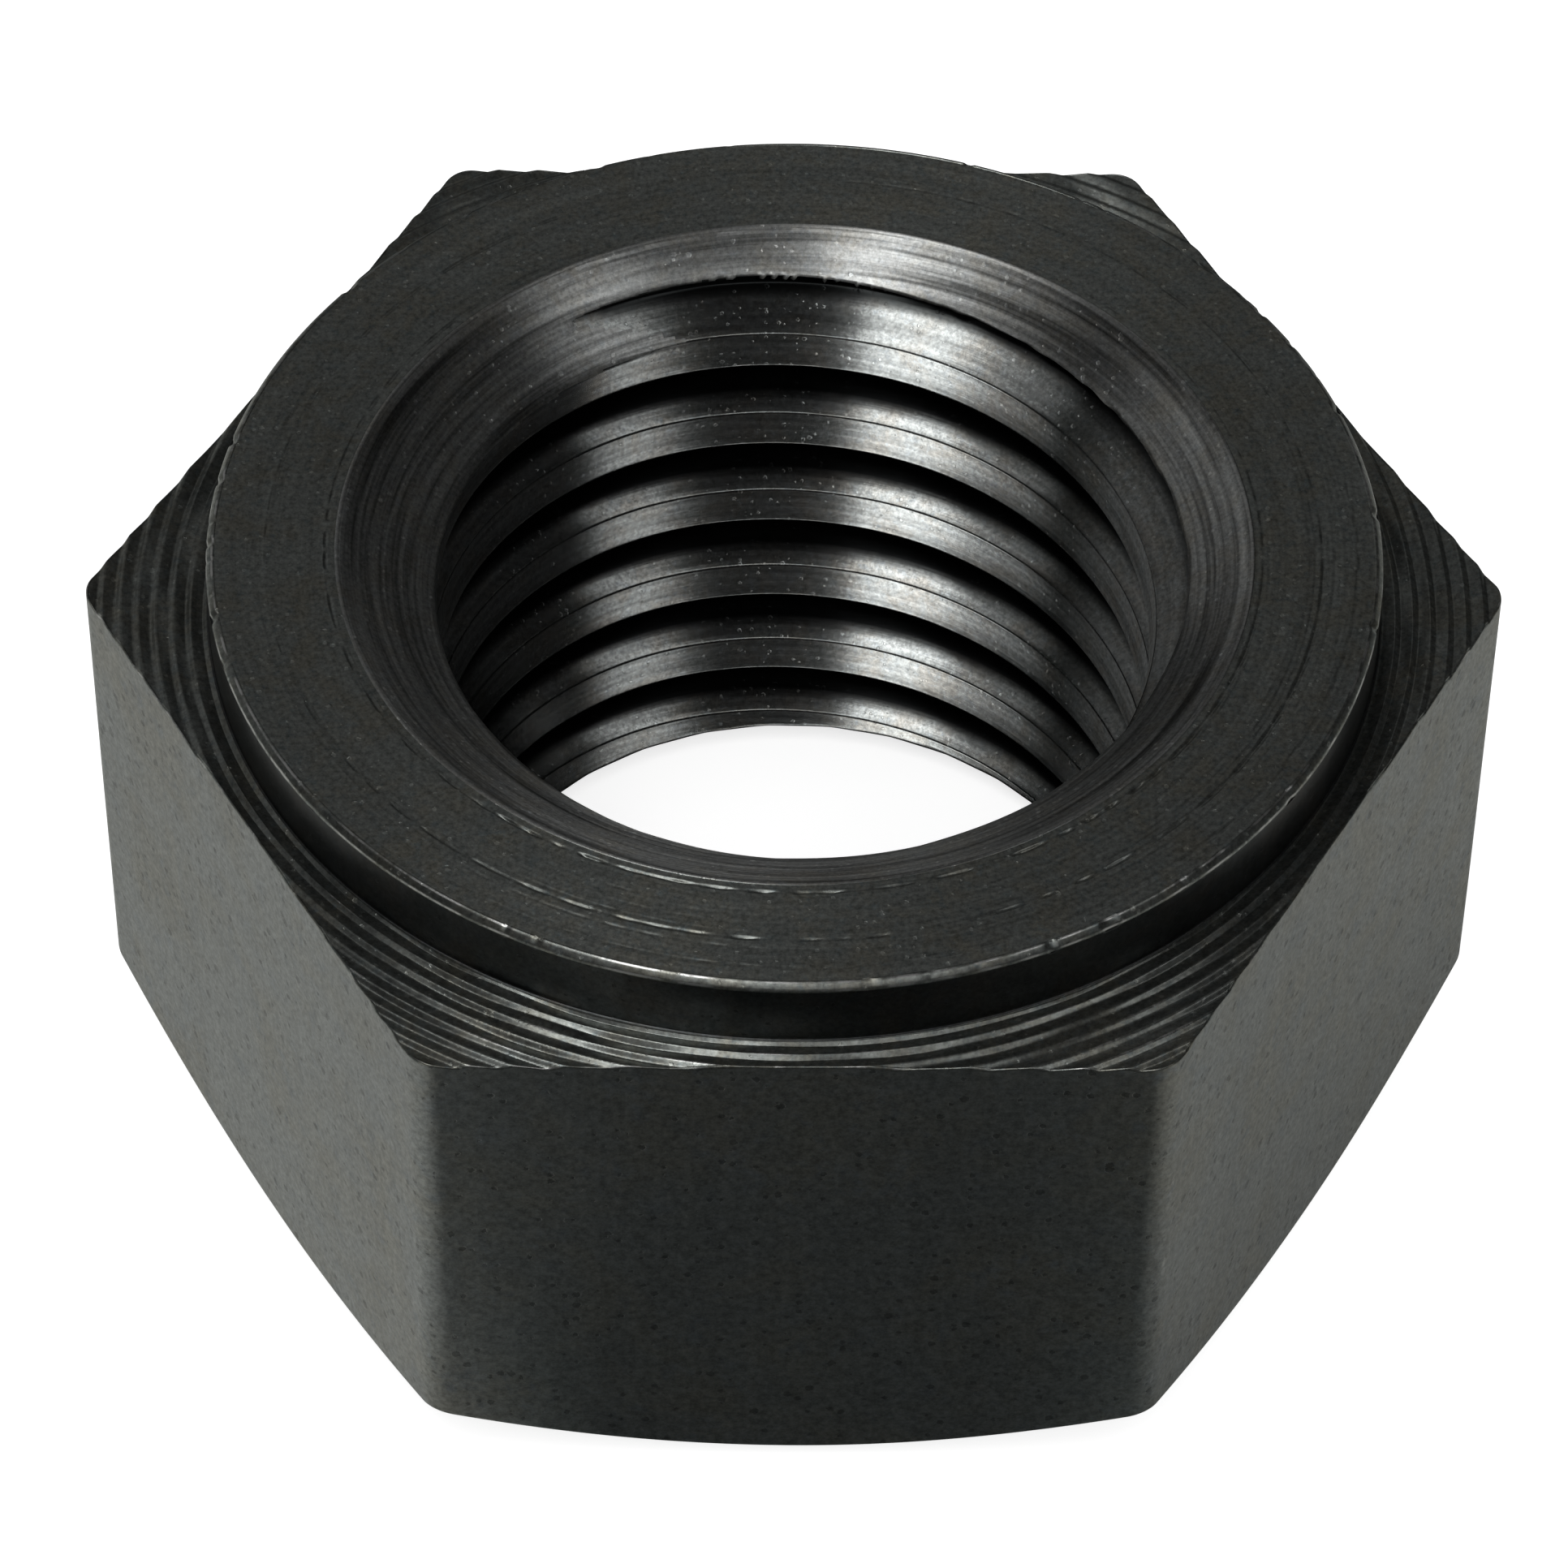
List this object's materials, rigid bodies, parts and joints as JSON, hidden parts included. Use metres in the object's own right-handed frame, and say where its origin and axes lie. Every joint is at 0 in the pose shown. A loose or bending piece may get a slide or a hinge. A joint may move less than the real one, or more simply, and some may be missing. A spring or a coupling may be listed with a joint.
{
  "type": "hex nut",
  "caption": "Hexagon nut with a right-hand threaded through hole, countersunk at both ends, and a raised turned washer face on one end.",
  "frame": {"origin": "centre of the plain end, on the thread's axis", "axes": "+Z along the thread's axis towards the washer face; two corners of the hexagon lie on the X axis and two flats face +Y and -Y"},
  "size_m": [0.031, 0.027, 0.015],
  "materials": {
    "black_steel": "machined steel with a thin oiled black oxide coat, satin on the flats and finely turned on the ends"
  },
  "bodies": {
    "root": {"hex_nut": "black_steel"}
  },
  "joints": []
}
